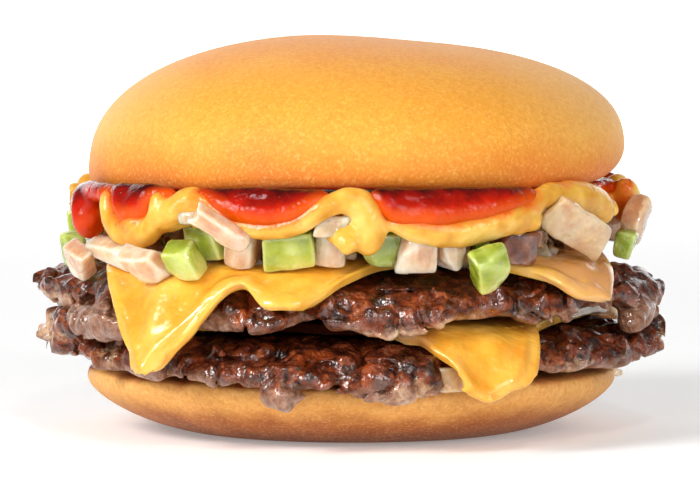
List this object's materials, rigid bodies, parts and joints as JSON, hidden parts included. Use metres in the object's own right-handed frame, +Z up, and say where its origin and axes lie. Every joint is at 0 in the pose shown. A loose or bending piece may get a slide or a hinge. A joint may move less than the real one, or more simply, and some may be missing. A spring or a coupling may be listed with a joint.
{
  "type": "double cheeseburger",
  "caption": "Double cheeseburger: split bun, seared patties with draped cheese slices, diced onion and pickle, mustard and ketchup.",
  "frame": {"origin": "middle of the bun's flat base, where it rests on a table", "axes": "+Z up through the bun, -Y towards the front that shows the cheese corners and the diced topping, +X to the right seen from the front"},
  "size_m": [0.1235, 0.1188, 0.0768],
  "materials": {
    "bun": "satin",
    "patty": "satin",
    "cheese": "gloss",
    "topping": "gloss",
    "onion": "gloss",
    "pickle": "gloss",
    "mustard": "gloss",
    "ketchup": "gloss"
  },
  "bodies": {
    "root": {"bun_bottom": "bun", "bun_top": "bun", "cheese_lower": "cheese", "cheese_upper": "cheese", "ketchup": "ketchup", "mustard": "mustard", "onion_01": "onion", "onion_02": "onion", "onion_03": "onion", "onion_04": "onion", "onion_05": "onion", "onion_06": "onion", "onion_07": "onion", "onion_08": "onion", "onion_09": "onion", "onion_10": "onion", "onion_11": "onion", "onion_12": "onion", "onion_13": "onion", "onion_14": "onion", "onion_15": "onion", "onion_16": "onion", "onion_17": "onion", "onion_18": "onion", "onion_19": "onion", "onion_20": "onion", "patty_lower": "patty", "patty_upper": "patty", "pickle_01": "pickle", "pickle_02": "pickle", "pickle_03": "pickle", "pickle_04": "pickle", "pickle_05": "pickle", "pickle_06": "pickle", "pickle_07": "pickle", "pickle_08": "pickle", "pickle_09": "pickle", "pickle_10": "pickle", "pickle_11": "pickle", "pickle_12": "pickle", "topping_heap": "topping"}
  },
  "joints": []
}
